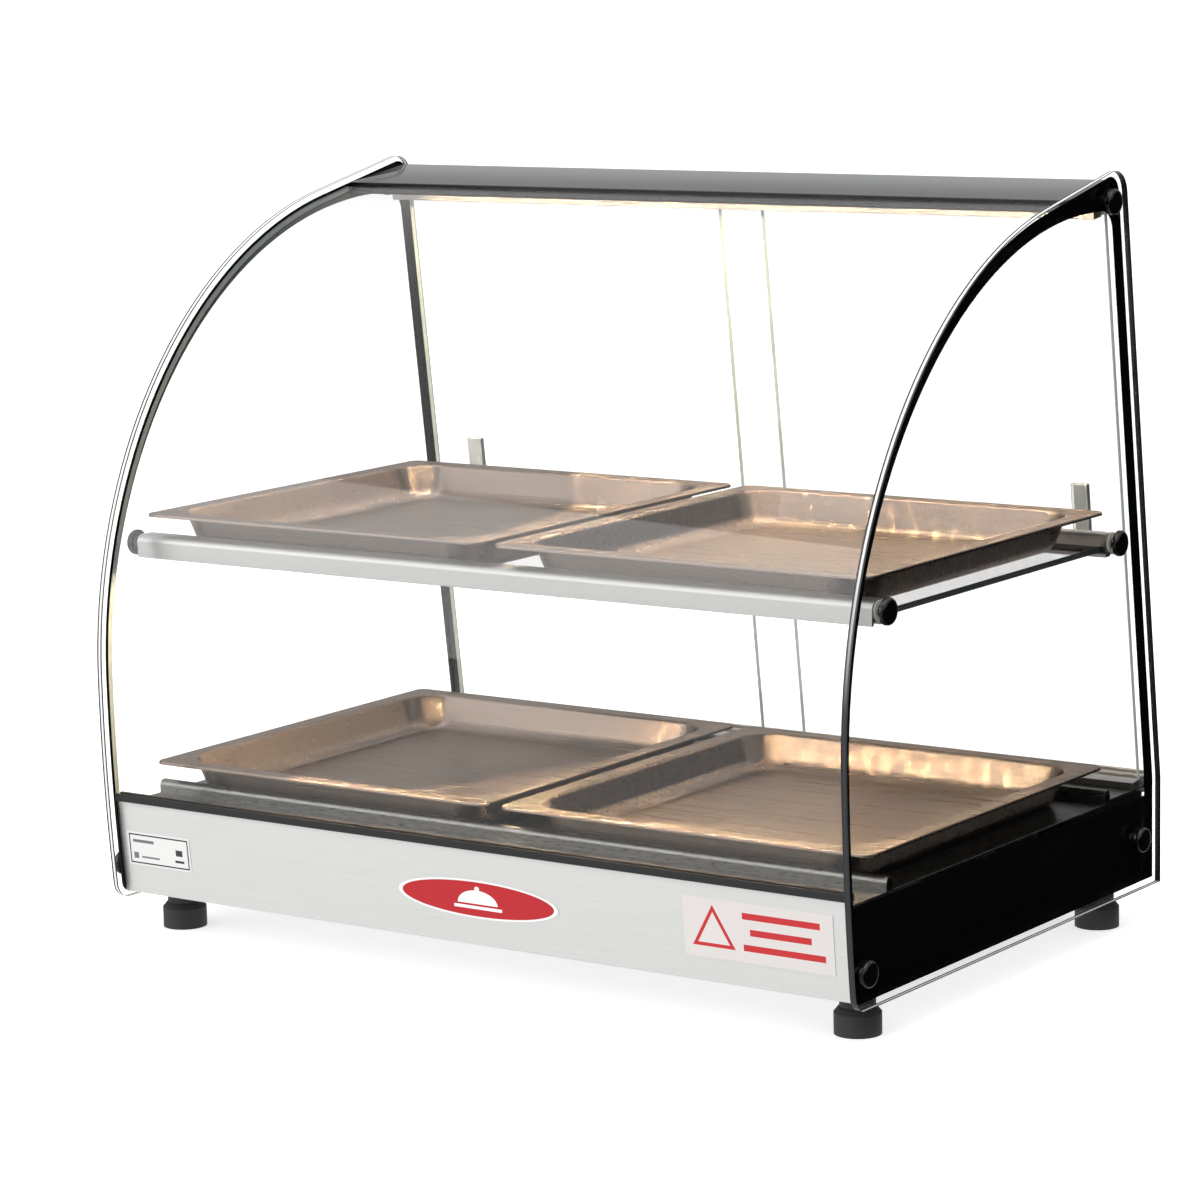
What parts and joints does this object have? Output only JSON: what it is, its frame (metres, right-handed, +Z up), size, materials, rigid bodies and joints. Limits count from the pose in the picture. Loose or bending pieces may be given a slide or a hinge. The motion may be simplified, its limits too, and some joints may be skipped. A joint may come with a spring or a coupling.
{
  "type": "hot food display case",
  "caption": "Countertop heated display case with curved front glass, printed glass sides, a lit glass shelf, lift-out trays and two rear sliding doors",
  "frame": {"origin": "on the worktop, under the middle of the outside box", "axes": "X along the case, +Y towards the operator's side with the sliding doors, +Z up; the curved glass faces -Y"},
  "size_m": [0.569, 0.393, 0.483],
  "materials": {
    "side_glass": "clear toughened, ground edge",
    "clear_glass": "clear toughened",
    "enamel_print": "black ceramic print",
    "dark_glass": "dark, glossy",
    "seal_rubber": "matte black",
    "satin_panel": "satin, brushed lengthwise",
    "zinc_steel": "zinc plated",
    "dark_steel": "black powder coat",
    "deck_steel": "mill finish",
    "satin_aluminium": "satin anodised",
    "black_plastic": "moulded",
    "gloss_black": "moulded, polished",
    "clear_acrylic": "clear, polished",
    "led_board": "white solder mask",
    "led_lens": "opal",
    "tray_steel": "drawn, brushed",
    "foot_rubber": "matte dark grey",
    "white_nylon": "moulded",
    "heater_sheath": "heat-stained",
    "control_plastic": "moulded",
    "copper": "drawn",
    "green_rocker": "translucent",
    "amber_lens": "translucent",
    "label_film": "printed film",
    "badge_film": "printed film"
  },
  "bodies": {
    "case": {"left_side_glass": "side_glass", "right_side_glass": "side_glass", "left_glass_border": "enamel_print", "right_glass_border": "enamel_print", "front_glass": "clear_glass", "front_glass_seal": "seal_rubber", "front_panel": "satin_panel", "base_pan": "zinc_steel", "left_end_plate": "dark_steel", "right_end_plate": "dark_steel", "rear_panel": "satin_panel", "deck_plate": "deck_steel", "roof_panel": "dark_glass", "roof_front_profile": "dark_steel", "left_roof_bracket": "black_plastic", "right_roof_bracket": "black_plastic", "door_top_track": "satin_aluminium", "door_bottom_track": "satin_aluminium", "shelf_glass": "clear_glass", "shelf_front_rail": "satin_aluminium", "shelf_rear_rail": "satin_aluminium", "roof_led_strip": "led_board", "shelf_led_strip": "led_board", "roof_led_lens": "led_lens", "shelf_led_lens": "led_lens", "left_glass_caps": "gloss_black", "right_glass_caps": "gloss_black", "glass_screws": "zinc_steel", "glass_bushes": "white_nylon", "front_left_foot": "foot_rubber", "front_right_foot": "foot_rubber", "rear_left_foot": "foot_rubber", "rear_right_foot": "foot_rubber", "foot_screws": "zinc_steel", "heating_element": "heater_sheath", "heater_clamps": "zinc_steel", "thermostat_body": "control_plastic", "thermostat_bulb": "copper", "switch_housing": "black_plastic", "pilot_lamp": "amber_lens", "terminal_block": "white_nylon", "led_driver": "control_plastic", "cable_gland": "black_plastic", "gland_nut": "black_plastic", "rear_panel_screws": "zinc_steel", "data_label": "label_film", "warning_label": "label_film", "front_badge": "badge_film"},
    "left_door": {"left_door": "clear_glass", "left_door_pull": "clear_acrylic"},
    "right_door": {"right_door": "clear_glass", "right_door_pull": "clear_acrylic"},
    "knob": {"thermostat_knob": "black_plastic"},
    "rocker": {"switch_rocker": "green_rocker"},
    "upper_left_tray": {"upper_left_tray": "tray_steel"},
    "upper_right_tray": {"upper_right_tray": "tray_steel"},
    "lower_left_tray": {"lower_left_tray": "tray_steel"},
    "lower_right_tray": {"lower_right_tray": "tray_steel"}
  },
  "joints": [
    {"name": "left_door_slide", "type": "slide", "parent": "case", "child": "left_door", "axis": [1, 0, 0], "range_m": [0, 0.25]},
    {"name": "right_door_slide", "type": "slide", "parent": "case", "child": "right_door", "axis": [-1, 0, 0], "range_m": [0, 0.25]},
    {"name": "thermostat_turn", "type": "hinge", "parent": "case", "child": "knob", "pos_m": [-0.205, 0.185, 0.055], "axis": [0, 1, 0], "range_deg": [0, 270]},
    {"name": "switch_rock", "type": "hinge", "parent": "case", "child": "rocker", "pos_m": [-0.12, 0.1705, 0.055], "axis": [1, 0, 0], "range_deg": [-18, 0]},
    {"name": "upper_left_tray_lift", "type": "slide", "parent": "case", "child": "upper_left_tray", "axis": [0, 0, 1], "range_m": [0, 0.015]},
    {"name": "lower_left_tray_lift", "type": "slide", "parent": "case", "child": "lower_left_tray", "axis": [0, 0, 1], "range_m": [0, 0.05]},
    {"name": "upper_right_tray_lift", "type": "slide", "parent": "case", "child": "upper_right_tray", "axis": [0, 0, 1], "range_m": [0, 0.015]},
    {"name": "lower_right_tray_lift", "type": "slide", "parent": "case", "child": "lower_right_tray", "axis": [0, 0, 1], "range_m": [0, 0.05]}
  ]
}
